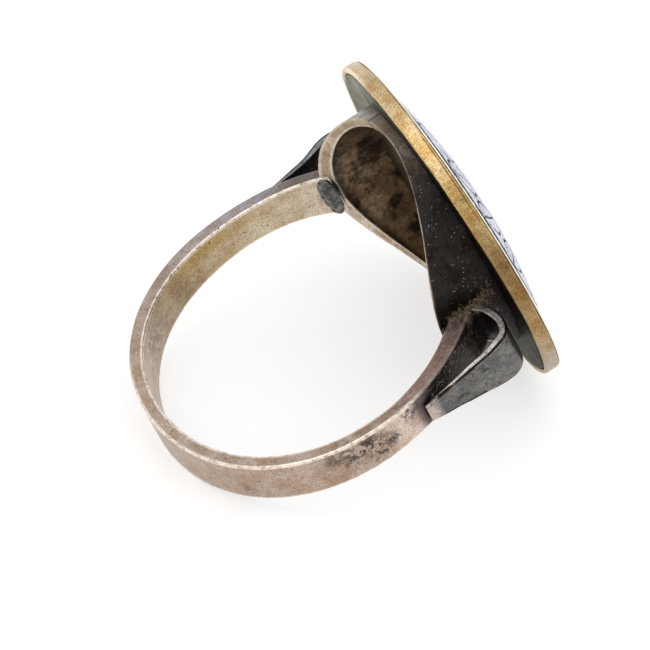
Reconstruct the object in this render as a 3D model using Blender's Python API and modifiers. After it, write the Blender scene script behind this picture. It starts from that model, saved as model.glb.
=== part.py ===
"""Signet ring: a flat band with forked shoulders, an oval collar cut to the finger, and a round head.

Metres, +Z up towards the head, Y along the finger, X from shoulder to shoulder. The origin is on the
finger's axis in the middle of the band. The ring is hand made, so the band is a little out of round and
the head is soldered a little off its centre.
"""

import math

import bmesh
import bpy
from mathutils import Matrix, Vector
from mathutils.geometry import interpolate_bezier

MM = 0.001

# Driving dimensions
FINGER_RADIUS = 9.5 * MM
BAND_THICKNESS = 0.85 * MM
BAND_WIDTH = 2.69 * MM
HEAD_RADIUS = 10.5 * MM
HEAD_CENTRE = Vector((-0.63, -0.70, 0.0)) * MM
PLATE_UNDERSIDE = 9.96 * MM
RIM_HEIGHT = 0.90 * MM
RIM_WALL = 0.36 * MM
RIM_CORNER = 0.14 * MM
PLATE_THICKNESS = 0.40 * MM
LIP_THICKNESS = 0.09 * MM
LIP_SETBACK = 0.05 * MM
LIP_REACH = 0.20 * MM
DOME_RISE = 1.50 * MM
PLAQUE_THICKNESS = 0.35 * MM
PLAQUE_FLANGE = 0.22 * MM
COLLAR_HALF_X = 7.37 * MM
COLLAR_HALF_Y = 8.64 * MM
COLLAR_WALL = 0.58 * MM
SADDLE_RADIUS = 9.38 * MM
JOINT_GAP = 0.03 * MM

# The band's shape: an oval on a slant, with a slight third and fourth wave, wider at the bottom and
# again where it meets the collar, and thicker towards the right-hand end.
OVAL_AMOUNT = 0.0288
OVAL_PHASE = math.radians(123.7)
THIRD_AMOUNT = 0.0089
THIRD_PHASE = math.radians(26.6)
FOURTH_AMOUNT = -0.007
WIDER_BELOW = 0.166
WIDER_AT_ENDS = 0.79
RIGHT_END_SWELL = 0.75 * MM
BAND_LEFT_END = math.radians(134.0)
BAND_RIGHT_END = math.radians(410.0)
BAND_STEPS = 72
BAND_CORNER = 0.10 * MM

# The shoulder strips: the outer surface's path in X and Z, the two edges in Y at the foot and at full
# width, the thickness there, and the height where the full width starts.
STRIP_PATHS = {
    "right": (
        (10.03, 2.62), (10.10, 5.40), (10.14, 7.50), (9.72, 8.68), (8.60, 9.12), (7.20, 8.87), (6.40, 8.30)
    ),
    "left": (
        (-9.95, 3.45), (-10.18, 5.50), (-10.66, 7.50), (-10.30, 8.55), (-9.30, 9.10), (-8.30, 8.75), (-7.70, 8.10)
    ),
}
STRIP_EDGES = {
    "right": ((-0.35, 1.00), (-1.50, 1.60)),
    "left": ((-1.10, 0.35), (-1.50, 1.50)),
}
STRIP_FOOT_THICKNESS = 0.20 * MM
STRIP_THICKNESS = 0.50 * MM
STRIP_FULL_HEIGHT = 8.0 * MM
STRIP_CORNER = 0.05 * MM
STRIP_STEPS = 6

# Solder at the two joints between band and collar, on the finger's side: a flat oval lump, given by its
# half sizes along the joint's slope, along the finger and through it, its middle, and its slope.
SOLDER_SIZE = Vector((0.62, 1.60, 0.26)) * MM
SOLDER_AT = {"right": Vector((6.86, 0.0, 6.02)) * MM, "left": Vector((-7.84, 0.0, 5.80)) * MM}
SOLDER_SLOPE = {"right": math.radians(48.0), "left": math.radians(-53.0)}

ROUND_STEPS = 72
OVAL_STEPS = 72
DOME_STEPS = 6
CUTTER_LOW = 3.0 * MM
CUTTER_HIGH = 14.0 * MM
CUTTER_REACH = 24.0 * MM

MATERIALS = {
    "band_silver": ((0.62, 0.54, 0.48), 0.34, 1.0),
    "shoulder_silver": ((0.36, 0.34, 0.34), 0.38, 1.0),
    "blackened_silver": ((0.09, 0.08, 0.075), 0.42, 1.0),
    "gilt_brass": ((0.66, 0.45, 0.16), 0.36, 1.0),
    "lip_silver": ((0.70, 0.66, 0.60), 0.30, 1.0),
    "engraved_silver": ((0.70, 0.71, 0.76), 0.28, 1.0),
    "pitch": ((0.07, 0.05, 0.04), 0.80, 0.0),
    "solder": ((0.16, 0.18, 0.17), 0.50, 1.0),
}


def clear_scene():
    for obj in list(bpy.data.objects):
        bpy.data.objects.remove(obj, do_unlink=True)


def make_collection(name):
    collection = bpy.data.collections.new(name)
    bpy.context.scene.collection.children.link(collection)
    return collection


def make_material(name):
    colour, roughness, metallic = MATERIALS[name]
    material = bpy.data.materials.new(name)
    material.use_nodes = True
    shader = material.node_tree.nodes["Principled BSDF"]
    shader.inputs["Base Color"].default_value = (*colour, 1.0)
    shader.inputs["Roughness"].default_value = roughness
    shader.inputs["Metallic"].default_value = metallic
    return material


def add_object(name, bm, collection, material=None):
    """Turn a bmesh into a named object, shaded smooth between its sharp edges."""
    mesh = bpy.data.meshes.new(name)
    bm.to_mesh(mesh)
    bm.free()
    mesh.shade_smooth()
    mesh.set_sharp_from_angle(angle=math.radians(35.0))
    obj = bpy.data.objects.new(name, mesh)
    collection.objects.link(obj)
    if material:
        mesh.materials.append(make_material(material))
    return obj


def add_cutter(name, bm):
    obj = add_object(name, bm, CUTTERS)
    obj.hide_render = True
    obj.display_type = "WIRE"
    return obj


def cut(obj, cutter):
    boolean = obj.modifiers.new("cut_by_" + cutter.name, "BOOLEAN")
    boolean.operation = "DIFFERENCE"
    boolean.object = cutter


def round_edges(obj, width, segments=2):
    bevel = obj.modifiers.new("rounded_edges", "BEVEL")
    bevel.width = width
    bevel.segments = segments
    bevel.limit_method = "ANGLE"
    bevel.angle_limit = math.radians(50.0)


def loft(sections):
    """A closed solid through a row of four-cornered sections."""
    bm = bmesh.new()
    rings = [[bm.verts.new(point) for point in section] for section in sections]
    corners = len(rings[0])
    for ring, following in zip(rings, rings[1:]):
        for k in range(corners):
            side = (ring[k], ring[(k + 1) % corners], following[(k + 1) % corners], following[k])
            bm.faces.new(side)
    bm.faces.new(reversed(rings[0]))
    bm.faces.new(rings[-1])
    bmesh.ops.recalc_face_normals(bm, faces=bm.faces)
    return bm


def oval_cylinder(half_x, half_y, low, high):
    """An upright oval cylinder on the head's centre."""
    bm = bmesh.new()
    bmesh.ops.create_cone(bm, cap_ends=True, segments=OVAL_STEPS, radius1=1.0, radius2=1.0, depth=1.0)
    bmesh.ops.scale(bm, verts=bm.verts, vec=(half_x, half_y, high - low))
    bmesh.ops.translate(bm, verts=bm.verts, vec=HEAD_CENTRE + Vector((0.0, 0.0, (low + high) / 2)))
    return bm


def finger_cylinder(radius):
    """A cylinder along the finger, under the middle of the head."""
    bm = bmesh.new()
    bmesh.ops.create_cone(
        bm, cap_ends=True, segments=2 * ROUND_STEPS, radius1=radius, radius2=radius, depth=2 * CUTTER_REACH
    )
    for vert in bm.verts:
        vert.co = Vector((vert.co.x + HEAD_CENTRE.x, vert.co.z, -vert.co.y))
    return bm


def turned(name, profile, material, closed_ring):
    """A solid turned about the head's axis from a profile of (radius, height) pairs."""
    bm = bmesh.new()
    points = [bm.verts.new((radius, 0.0, height)) for radius, height in profile]
    for first, second in zip(points, points[1:]):
        bm.edges.new((first, second))
    if closed_ring:
        bm.edges.new((points[-1], points[0]))
    obj = add_object(name, bm, PARTS, material)
    obj.location = HEAD_CENTRE
    screw = obj.modifiers.new("turn", "SCREW")
    screw.steps = ROUND_STEPS
    screw.render_steps = ROUND_STEPS
    screw.use_merge_vertices = True
    screw.merge_threshold = 0.001 * MM
    screw.use_smooth_shade = False
    return obj


def inside_radius(angle):
    """How far the band's inside is from the finger's axis."""
    wave = OVAL_AMOUNT * math.cos(2 * angle + OVAL_PHASE)
    wave += THIRD_AMOUNT * math.cos(3 * angle + THIRD_PHASE)
    wave += FOURTH_AMOUNT * math.cos(4 * angle)
    return FINGER_RADIUS * (1 + wave)


def outside_radius(angle):
    swell = RIGHT_END_SWELL * math.sin(angle) ** 2 if math.cos(angle) > 0 and math.sin(angle) > 0 else 0.0
    return inside_radius(angle) + BAND_THICKNESS + swell


def band_width(angle):
    rise = math.sin(angle)
    return BAND_WIDTH * (1 - WIDER_BELOW * rise + WIDER_AT_ENDS * max(0.0, rise) ** 2)


def band_sections(grow=0.0):
    """Rectangles across the band, from its left end under the finger to its right end."""
    sections = []
    for step in range(BAND_STEPS + 1):
        angle = BAND_LEFT_END + (BAND_RIGHT_END - BAND_LEFT_END) * step / BAND_STEPS
        inside = inside_radius(angle) - grow
        outside = outside_radius(angle) + grow
        half = band_width(angle) / 2 + grow
        out = Vector((math.cos(angle), 0.0, math.sin(angle)))
        along_finger = Vector((0.0, half, 0.0))
        corners = (
            out * inside - along_finger,
            out * inside + along_finger,
            out * outside + along_finger,
            out * outside - along_finger,
        )
        sections.append(corners)
    return sections


def smooth_path(knots):
    """Points on one smooth curve through the knots."""
    knots = [Vector((x, 0.0, z)) * MM for x, z in knots]
    points = []
    for k in range(len(knots) - 1):
        before = knots[max(k - 1, 0)]
        start = knots[k]
        end = knots[k + 1]
        after = knots[min(k + 2, len(knots) - 1)]
        handle_out = start + (end - before) / 6
        handle_in = end - (after - start) / 6
        piece = interpolate_bezier(start, handle_out, handle_in, end, STRIP_STEPS + 1)
        points += piece if k == 0 else piece[1:]
    return points


def strip_sections(side):
    """Rectangles across a shoulder strip, from its foot on the band up over its crown to the collar."""
    path = smooth_path(STRIP_PATHS[side])
    foot_edges, full_edges = STRIP_EDGES[side]
    inward_turn = 1.0 if side == "right" else -1.0
    sections = []
    for k, point in enumerate(path):
        along = (path[min(k + 1, len(path) - 1)] - path[max(k - 1, 0)]).normalized()
        inward = Vector((-along.z, 0.0, along.x)) * inward_turn
        reach = min((point.z - path[0].z) / (STRIP_FULL_HEIGHT - path[0].z), 1.0)
        near = (foot_edges[0] + (full_edges[0] - foot_edges[0]) * reach) * MM
        far = (foot_edges[1] + (full_edges[1] - foot_edges[1]) * reach) * MM
        thickness = STRIP_FOOT_THICKNESS + (STRIP_THICKNESS - STRIP_FOOT_THICKNESS) * reach
        inner = point + inward * thickness
        corners = (
            point + Vector((0.0, near, 0.0)),
            point + Vector((0.0, far, 0.0)),
            inner + Vector((0.0, far, 0.0)),
            inner + Vector((0.0, near, 0.0)),
        )
        sections.append(corners)
    return sections


def cap_arc(edge_radius, edge_height, rise):
    """A dome's (radius, height) pairs, from its middle down to its edge, along one circle's arc."""
    ball = (edge_radius**2 + rise**2) / (2 * rise)
    widest = math.asin(edge_radius / ball)
    centre = edge_height + rise - ball
    arc = []
    for step in range(DOME_STEPS + 1):
        angle = widest * step / DOME_STEPS
        arc.append((ball * math.sin(angle), centre + ball * math.cos(angle)))
    return arc


def make_shank():
    shank = add_object("shank", loft(band_sections()), PARTS, "band_silver")
    round_edges(shank, BAND_CORNER)
    cut(shank, COLLAR_ROOM)


def make_shoulder_strips():
    for side in STRIP_PATHS:
        strip = add_object("shoulder_strip_" + side, loft(strip_sections(side)), PARTS, "shoulder_silver")
        round_edges(strip, STRIP_CORNER, 1)
        cut(strip, COLLAR_ROOM)
        cut(strip, BAND_ROOM)


def make_collar():
    """An oval tube under the head, its lower edge cut on the finger's curve."""
    top = PLATE_UNDERSIDE - JOINT_GAP
    tube = oval_cylinder(COLLAR_HALF_X, COLLAR_HALF_Y, CUTTER_LOW, top)
    collar = add_object("collar", tube, PARTS, "blackened_silver")
    bore = oval_cylinder(COLLAR_HALF_X - COLLAR_WALL, COLLAR_HALF_Y - COLLAR_WALL, 0.0, CUTTER_HIGH)
    cut(collar, add_cutter("collar_bore", bore))
    cut(collar, add_cutter("saddle", finger_cylinder(SADDLE_RADIUS)))


def make_back_plate():
    radius = HEAD_RADIUS - RIM_WALL - JOINT_GAP
    bm = bmesh.new()
    bmesh.ops.create_cone(
        bm, cap_ends=True, segments=ROUND_STEPS, radius1=radius, radius2=radius, depth=PLATE_THICKNESS
    )
    plate = add_object("back_plate", bm, PARTS, "blackened_silver")
    plate.location = HEAD_CENTRE + Vector((0.0, 0.0, PLATE_UNDERSIDE + PLATE_THICKNESS / 2))


def make_bezel_rim():
    inner = HEAD_RADIUS - RIM_WALL
    low = PLATE_UNDERSIDE
    high = PLATE_UNDERSIDE + RIM_HEIGHT
    slope = RIM_CORNER * math.sqrt(0.5)
    middle = HEAD_RADIUS - RIM_CORNER
    profile = (
        (inner, high),
        (middle, high),
        (middle + slope, high - RIM_CORNER + slope),
        (HEAD_RADIUS, high - RIM_CORNER),
        (HEAD_RADIUS, low + RIM_CORNER / 2),
        (HEAD_RADIUS - RIM_CORNER / 2, low),
        (inner, low),
    )
    turned("bezel_rim", profile, "gilt_brass", True)


def make_bezel_lip():
    outer = HEAD_RADIUS - LIP_SETBACK
    inner = HEAD_RADIUS - RIM_WALL - LIP_REACH
    low = PLATE_UNDERSIDE + RIM_HEIGHT + JOINT_GAP
    high = low + LIP_THICKNESS
    profile = ((inner, high), (outer, high), (outer, low), (inner, low))
    turned("bezel_lip", profile, "lip_silver", True)


def make_face_plaque():
    flange = HEAD_RADIUS - RIM_WALL - JOINT_GAP
    dome_edge = flange - PLAQUE_FLANGE
    flange_top = PLATE_UNDERSIDE + RIM_HEIGHT
    flange_low = flange_top - PLAQUE_THICKNESS
    outside = cap_arc(dome_edge, flange_top, DOME_RISE)
    inside = cap_arc(dome_edge - PLAQUE_THICKNESS, flange_low, DOME_RISE)
    profile = outside + [(flange, flange_top), (flange, flange_low)] + inside[::-1]
    turned("face_plaque", profile, "engraved_silver", False)


def make_plaque_backing():
    dome_edge = HEAD_RADIUS - RIM_WALL - JOINT_GAP - PLAQUE_FLANGE - PLAQUE_THICKNESS
    low = PLATE_UNDERSIDE + PLATE_THICKNESS + JOINT_GAP
    flange_low = PLATE_UNDERSIDE + RIM_HEIGHT - PLAQUE_THICKNESS
    top = cap_arc(dome_edge, flange_low - JOINT_GAP, DOME_RISE)
    profile = top + [(dome_edge, low), (0.0, low)]
    turned("plaque_backing", profile, "pitch", False)


def make_solder():
    for side, place in SOLDER_AT.items():
        bm = bmesh.new()
        bmesh.ops.create_uvsphere(bm, u_segments=24, v_segments=16, radius=1.0)
        bmesh.ops.rotate(bm, verts=bm.verts, matrix=Matrix.Rotation(math.radians(90.0), 3, "X"))
        bmesh.ops.scale(bm, verts=bm.verts, vec=SOLDER_SIZE)
        bmesh.ops.rotate(bm, verts=bm.verts, matrix=Matrix.Rotation(SOLDER_SLOPE[side], 3, "Y"))
        bmesh.ops.translate(bm, verts=bm.verts, vec=place)
        solder = add_object("solder_" + side, bm, PARTS, "solder")
        cut(solder, BAND_ROOM)
        cut(solder, COLLAR_WALL_ROOM)


clear_scene()
PARTS = make_collection("signet_ring")
CUTTERS = make_collection("signet_ring_cutters")
COLLAR_ROOM = add_cutter(
    "collar_room",
    oval_cylinder(COLLAR_HALF_X + JOINT_GAP, COLLAR_HALF_Y + JOINT_GAP, CUTTER_LOW, CUTTER_HIGH),
)
BAND_ROOM = add_cutter("band_room", loft(band_sections(JOINT_GAP)))
COLLAR_WALL_ROOM = add_cutter(
    "collar_wall_room",
    oval_cylinder(COLLAR_HALF_X + JOINT_GAP, COLLAR_HALF_Y + JOINT_GAP, CUTTER_LOW, CUTTER_HIGH),
)
cut(COLLAR_WALL_ROOM, add_cutter("saddle_room", finger_cylinder(SADDLE_RADIUS - JOINT_GAP)))

make_shank()
make_shoulder_strips()
make_collar()
make_back_plate()
make_bezel_rim()
make_bezel_lip()
make_face_plaque()
make_plaque_backing()
make_solder()
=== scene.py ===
"""Looks for the signet ring: fine meshes and worn-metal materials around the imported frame.

Metres, +Z up towards the head, Y along the finger, X from shoulder to shoulder. Each piece replaces one
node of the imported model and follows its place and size. The solder lumps follow theirs only roughly: they are
whole ovals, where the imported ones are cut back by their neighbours. The lint replaces no node, and the packed
plaque_backing stays with a material of its own.
"""

import math
import random

import bmesh
import bpy
from mathutils import Matrix, Vector, noise
from mathutils.geometry import interpolate_bezier


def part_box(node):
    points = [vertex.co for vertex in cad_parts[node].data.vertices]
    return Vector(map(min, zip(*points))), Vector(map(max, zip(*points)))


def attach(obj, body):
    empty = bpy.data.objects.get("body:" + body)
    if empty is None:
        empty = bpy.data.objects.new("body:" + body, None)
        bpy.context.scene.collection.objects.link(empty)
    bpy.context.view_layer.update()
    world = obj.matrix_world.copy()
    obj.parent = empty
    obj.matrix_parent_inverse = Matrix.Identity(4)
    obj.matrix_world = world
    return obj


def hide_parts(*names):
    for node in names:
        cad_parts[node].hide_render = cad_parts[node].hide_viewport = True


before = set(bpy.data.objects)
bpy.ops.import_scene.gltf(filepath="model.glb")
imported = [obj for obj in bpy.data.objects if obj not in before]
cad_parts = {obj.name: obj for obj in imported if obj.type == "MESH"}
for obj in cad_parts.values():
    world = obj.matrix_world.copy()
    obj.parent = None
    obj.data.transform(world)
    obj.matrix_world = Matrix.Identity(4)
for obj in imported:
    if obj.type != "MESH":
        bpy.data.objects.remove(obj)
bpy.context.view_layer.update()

MM = 0.001
BODY = "root"

# The band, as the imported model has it
FINGER_RADIUS = 9.5 * MM
BAND_THICKNESS = 0.85 * MM
BAND_WIDTH = 2.69 * MM
OVAL_AMOUNT = 0.0288
OVAL_PHASE = math.radians(123.7)
THIRD_AMOUNT = 0.0089
THIRD_PHASE = math.radians(26.6)
FOURTH_AMOUNT = -0.007
WIDER_BELOW = 0.166
WIDER_AT_ENDS = 0.79
RIGHT_END_SWELL = 0.75 * MM
BAND_CORNER = 0.12 * MM
BAND_STEPS = 420

# The band's nominal ends in degrees round the finger. Each of its lengthwise lines ends in the collar's wall.
BAND_START = 137.0
BAND_END = 405.0

# Steps of each piece's section: across its broad faces, and up its sides. Then the steps of a rounded corner
BAND_SECTION = (14, 8)
STRIP_SECTION = (12, 6)
COLLAR_SECTION = (30, 8)
RIM_SECTION = (16, 6)
LIP_SECTION = (10, 4)
TURN_STEPS = 4
# How far from each corner its bright edge reaches: wear and a painted highlight
CORNER_WEAR_AND_HIGHLIGHT = 0.10 * MM

# The head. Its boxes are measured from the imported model, and the other sizes are set to suit them
PLATE_LOW, PLATE_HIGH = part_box("back_plate")
RIM_LOW, RIM_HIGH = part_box("bezel_rim")
LIP_LOW, LIP_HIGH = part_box("bezel_lip")
COLLAR_LOW, COLLAR_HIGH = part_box("collar")
HEAD_CENTRE = Vector(((RIM_LOW.x + RIM_HIGH.x) / 2, (RIM_LOW.y + RIM_HIGH.y) / 2, 0.0))
HEAD_RADIUS = (RIM_HIGH.x - RIM_LOW.x) / 2
PLATE_RADIUS = (PLATE_HIGH.x - PLATE_LOW.x) / 2
RIM_WALL = 0.36 * MM
RIM_CORNER = 0.16 * MM
COLLAR_HALF_X = (COLLAR_HIGH.x - COLLAR_LOW.x) / 2
COLLAR_HALF_Y = (COLLAR_HIGH.y - COLLAR_LOW.y) / 2
COLLAR_WALL = 0.58 * MM
COLLAR_CORNER = 0.09 * MM
SADDLE_RADIUS = 9.38 * MM
COLLAR_SEAM = math.radians(-108.0)
COLLAR_SEAM_WIDTH = 0.10 * MM
JOINT_GAP = 0.03 * MM
LIP_WIDTH = 0.49 * MM
LIP_CORNER = 0.03 * MM
LIP_WAVES = ((14.0, 0.035 * MM), (60.0, 0.015 * MM))
DOME_RISE = 1.50 * MM
PLAQUE_THICKNESS = 0.35 * MM
PLAQUE_FLANGE = 0.22 * MM

# The shoulder strips' outer paths in X and Z (mm), and their edges in Y at the foot and at full width
STRIP_PATHS = {
    "right": (
        (10.03, 2.62),
        (10.10, 5.40),
        (10.14, 7.50),
        (9.72, 8.68),
        (8.60, 9.12),
        (7.20, 8.87),
        (6.40, 8.30),
    ),
    "left": (
        (-9.95, 3.45),
        (-10.18, 5.50),
        (-10.66, 7.50),
        (-10.30, 8.55),
        (-9.30, 9.10),
        (-8.30, 8.75),
        (-7.70, 8.10),
    ),
}
STRIP_EDGES = {
    "right": ((-0.35, 1.00), (-1.50, 1.60)),
    "left": ((-1.10, 0.35), (-1.50, 1.50)),
}
STRIP_FOOT_THICKNESS = 0.20 * MM
STRIP_THICKNESS = 0.50 * MM
STRIP_FULL_HEIGHT = 8.0 * MM
STRIP_CORNER = 0.07 * MM
STRIP_STEPS = 24

# The bright foot of a strip, the wear and painted highlight on its corners, and the dirt on its faces
STRIP_FOOT_REACH = 0.9 * MM
STRIP_SHINE = {"right": 1.0, "left": 0.25}
STRIP_DIRT = 0.25
# How near a corner the strip's outer face is darkened, away from the foot
STRIP_DARK_CORNER_EDGE = 0.6

# Where dirt sits on the band: angle round the finger (degrees), place across the width from -1 to 1,
# share of the thickness from inside to outside, radius (mm) and strength
BAND_STAINS = (
    (-15.0, -0.9, 1.0, 0.8, 0.70),
    (-8.0, -0.5, 1.0, 1.1, 1.00),
    (-4.0, 0.0, 1.0, 1.3, 1.00),
    (1.0, 0.1, 1.0, 0.7, 0.90),
    (-13.0, -0.2, 1.0, 1.2, 0.90),
    (-19.0, -0.5, 1.0, 1.0, 0.70),
    (-50.0, 0.4, 1.0, 0.7, 0.50),
    (9.5, -0.6, 1.0, 0.9, 0.80),
    (40.0, -1.0, 0.5, 2.6, 0.55),
    (47.0, -1.0, 0.4, 1.6, 0.90),
    (143.0, 0.0, 0.0, 1.0, 0.70),
    (230.0, 0.0, 0.0, 1.8, 0.30),
    (205.0, 0.3, 0.0, 1.5, 0.25),
)

# The band's corners carry wear and a painted highlight. They are dull past the first angle, at its right end.
# On the outside they are also dull before the second. Each fades over a few degrees.
RIGHT_DULL_FROM = 375.0
RIGHT_FADE = 10.0
RIGHT_SHINE = 0.35
LEFT_DULL_TO = 232.0
LEFT_FADE = 20.0
LEFT_SHINE = 0.15

# The yellowed patch inside the band: its angle and its place across the width, and how far it spreads
YELLOW_ANGLE = 188.0
YELLOW_REACH = 20.0
YELLOW_PLACE = -0.55
YELLOW_SPREAD = 0.40

# The collar's wall as shares of its height, from its lower edge at -0.5: the bright edge, then the dark mouth
COLLAR_EDGE_FROM = -0.5
COLLAR_EDGE_DEPTH = 0.03
COLLAR_MOUTH_FROM = -0.46
COLLAR_MOUTH_DEPTH = 0.18
COLLAR_DIRT = 0.40
COLLAR_GRAIN = 8

# The line where the hoop's metal is joined, in degrees round the head. Then the wear on its lower corner,
# and where a painted highlight makes that corner brightest
SCARF_START = 285
SCARF_END = 318
SCARF_LEVEL = 289.0
SCARF_SPAN = 25
SCARF_BELOW_EDGE = 0.16 * MM
SCARF_FALL = 0.030 * MM
SCARF_WIDTH = 0.045 * MM
RIM_SHINE = 0.22
RIM_HIGHLIGHT_AT = 238.0
RIM_HIGHLIGHT_REACH = 22.0

# The engraving (mm): plain ring lines as (radius, half-width), then each ring of ornament
RING_LINES = ((0.90, 0.10), (5.05, 0.10), (8.65, 0.10), (9.55, 0.08))
BEADS = 64
BEAD_LOW = 8.75
BEAD_HIGH = 9.45
BEAD_LENGTH = 0.70
LEAVES = 16
LEAF_LOW = 5.2
LEAF_HIGH = 8.5
LEAF_LENGTH = 3.3
PETALS = 8
PETAL_LOW = 0.9
PETAL_HIGH = 4.9
PETAL_LENGTH = 4.0
BEAD_CUT = 0.10
DEEP_CUT = 0.12
LEAF_MIDDLE_CUT = 0.09
PETAL_MIDDLE_CUT = 0.08
FINE_CUT = 0.05

# The solder lumps: middle and half-sizes (mm), slope (degrees) and the seed of their roughness
SOLDER_LUMPS = {
    "left": ((-7.74, 0.05, 5.86), (0.62, 1.66, 0.22), -53.0, 4.0),
    "right": ((6.86, 0.0, 6.02), (0.62, 1.60, 0.26), 48.0, 8.0),
}

# The lint (mm): clumps as (middle, spread, how many fibres), then the fibres along the band in the right
# strip's opening, with the angles round the finger that they lie between
LINT_CLUMPS = (
    (Vector((7.05, -1.95, 7.30)), Vector((0.50, 0.20, 0.90)), 170),
    (Vector((7.00, -1.95, 8.60)), Vector((0.30, 0.25, 0.75)), 130),
    (Vector((6.90, -2.20, 9.20)), Vector((0.20, 0.80, 0.50)), 40),
)
OPENING_FIBRES = 150
OPENING_ANGLES = (18.0, 46.0)
FIBRE_RADIUS = 0.007 * MM
FIBRE_STEP = 0.065
FIBRE_CURL = 0.28
FIBRE_HUG = 0.95

# The camera: where it looks from, how it is turned about its own axis, and how far off it stands
CAMERA_AZIMUTH = math.radians(41.55)
CAMERA_ELEVATION = math.radians(-4.76)
CAMERA_ROLL = math.radians(56.3)
CAMERA_DISTANCE = 0.6667
CAMERA_LENS = 645.5
CAMERA_SHIFT = (0.0258, 0.0108)

# The ring lies on its side, on the rim's far edge and the band's
FLOOR_TILT = math.radians(68.6)
FLOOR_DEPTH = 5.30 * MM
FLOOR_GLOW = 0.48
FLOOR_SIZE = 1.6
FLOOR_TONES = ((0.60, 0.60, 0.60, 1.0), (0.64, 0.64, 0.64, 1.0))

# The lamps: place along the picture's right, its up and toward the camera, then watts and colour
LAMPS = {
    "key": ((-0.5, 0.7, 0.9), 0.16, (1.0, 0.98, 0.95)),
    "fill": ((0.9, 0.2, 0.6), 0.06, (0.96, 0.98, 1.0)),
}
LAMP_DISTANCE = 0.3
LAMP_SIZE = 0.20


def rgb(red, green, blue):
    """A screen colour as the linear colour that shaders take."""
    shares = (value / 255 for value in (red, green, blue))
    linear = [share / 12.92 if share <= 0.04045 else ((share + 0.055) / 1.055) ** 2.4 for share in shares]
    return (*linear, 1.0)


# Near black, for faces tucked in under the strips: painted shade with soot
SHADE_AND_SOOT = rgb(36, 31, 27)

# What a colour is multiplied by where the grain catches light, and where a surface is mottled
LIFT = (1.50, 1.48, 1.45, 1.0)
SINK = (0.62, 0.58, 0.56, 1.0)

# The pieces' colours before wear: (degrees, colour) keys round the finger for the band, and round the
# head for the rest. Some keys carry painted light and shade, as noted.
BAND_SIDE_TONES = (
    (137.0, rgb(104, 98, 98)),
    (150.0, rgb(128, 118, 114)),
    (172.0, rgb(172, 166, 172)),
    (200.0, rgb(174, 162, 156)),
    (235.0, rgb(186, 168, 153)),
    (345.0, rgb(184, 166, 154)),
    (372.0, rgb(150, 130, 122)),
    (405.0, rgb(112, 96, 92)),
)
BAND_INSIDE_TONES = (
    (137.0, rgb(216, 200, 182)),
    (165.0, rgb(212, 196, 168)),
    (182.0, rgb(200, 182, 150)),
    (205.0, rgb(172, 152, 124)),
    (235.0, rgb(190, 172, 156)),
    (405.0, rgb(150, 130, 116)),
)
BAND_YELLOW = rgb(182, 154, 96)
# From 366.5 degrees, towards and under the right strip's foot, the outside darkens into painted shade with dirt
BAND_OUTSIDE_TONES = (
    (137.0, rgb(60, 56, 60)),
    (165.0, rgb(116, 108, 110)),
    (200.0, rgb(170, 152, 138)),
    (270.0, rgb(186, 165, 148)),
    (350.0, rgb(186, 166, 152)),
    (361.0, rgb(222, 202, 190)),
    (364.5, rgb(190, 172, 164)),
    (366.5, rgb(96, 87, 88)),
    (371.5, rgb(80, 72, 74)),
    (376.0, SHADE_AND_SOOT),
    (405.0, SHADE_AND_SOOT),
)
RIM_TONES = (
    (-180.0, rgb(194, 168, 122)),
    (-130.0, rgb(208, 184, 158)),
    (-108.0, rgb(204, 180, 140)),
    (-75.0, rgb(230, 206, 158)),
    (-45.0, rgb(196, 170, 116)),
    (-27.0, rgb(138, 114, 78)),
    (-10.0, rgb(148, 124, 84)),
    (4.0, rgb(176, 152, 114)),
    (20.0, rgb(172, 156, 136)),
    (60.0, rgb(190, 166, 124)),
    (180.0, rgb(194, 168, 122)),
)
# Lighter round -128 degrees: painted light on the plate
PLATE_TONES = (
    (-180.0, rgb(120, 116, 102)),
    (-128.0, rgb(176, 178, 165)),
    (-100.0, rgb(124, 124, 114)),
    (-60.0, rgb(60, 55, 48)),
    (-5.0, rgb(50, 46, 43)),
    (22.0, rgb(52, 51, 48)),
    (80.0, rgb(112, 106, 94)),
    (180.0, rgb(120, 116, 102)),
)
# Lighter round -120 to -98 degrees: painted light on the collar's outside
COLLAR_OUTSIDE_TONES = (
    (-180.0, rgb(124, 120, 114)),
    (-120.0, rgb(160, 156, 148)),
    (-98.0, rgb(156, 149, 142)),
    (-80.0, rgb(96, 89, 85)),
    (-60.0, rgb(52, 49, 48)),
    (0.0, rgb(42, 38, 37)),
    (90.0, rgb(84, 78, 72)),
    (180.0, rgb(124, 120, 114)),
)
PLAQUE_TONES = ((-180.0, rgb(222, 224, 234)), (180.0, rgb(222, 224, 234)))
COLLAR_EDGE = rgb(216, 198, 178)
COLLAR_INSIDE = rgb(166, 140, 112)
COLLAR_MOUTH = rgb(70, 62, 52)
STRIP_TONES = {
    "right": {"outside": rgb(122, 120, 116), "side": rgb(226, 218, 214), "foot": rgb(220, 202, 186)},
    "left": {"outside": rgb(132, 130, 140), "side": rgb(134, 134, 142), "foot": rgb(120, 112, 116)},
}


def blend(first, second, share):
    """A colour part of the way from the first to the second."""
    return tuple(a + (b - a) * share for a, b in zip(first, second))


def tone_at(keys, degrees):
    """The colour at one angle, between its neighbouring keys."""
    for (start, first), (end, second) in zip(keys, keys[1:]):
        if start <= degrees <= end:
            return blend(first, second, (degrees - start) / (end - start))
    return keys[-1][1]


# ---------------------------------------------------------------- meshes


def finish_piece(name, mesh, node, material):
    """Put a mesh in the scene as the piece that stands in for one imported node."""
    mesh.shade_smooth()
    mesh.set_sharp_from_angle(angle=math.radians(50.0))
    piece = bpy.data.objects.new(name, mesh)
    bpy.context.scene.collection.objects.link(piece)
    mesh.materials.append(material)
    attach(piece, BODY)
    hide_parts(node)


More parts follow.
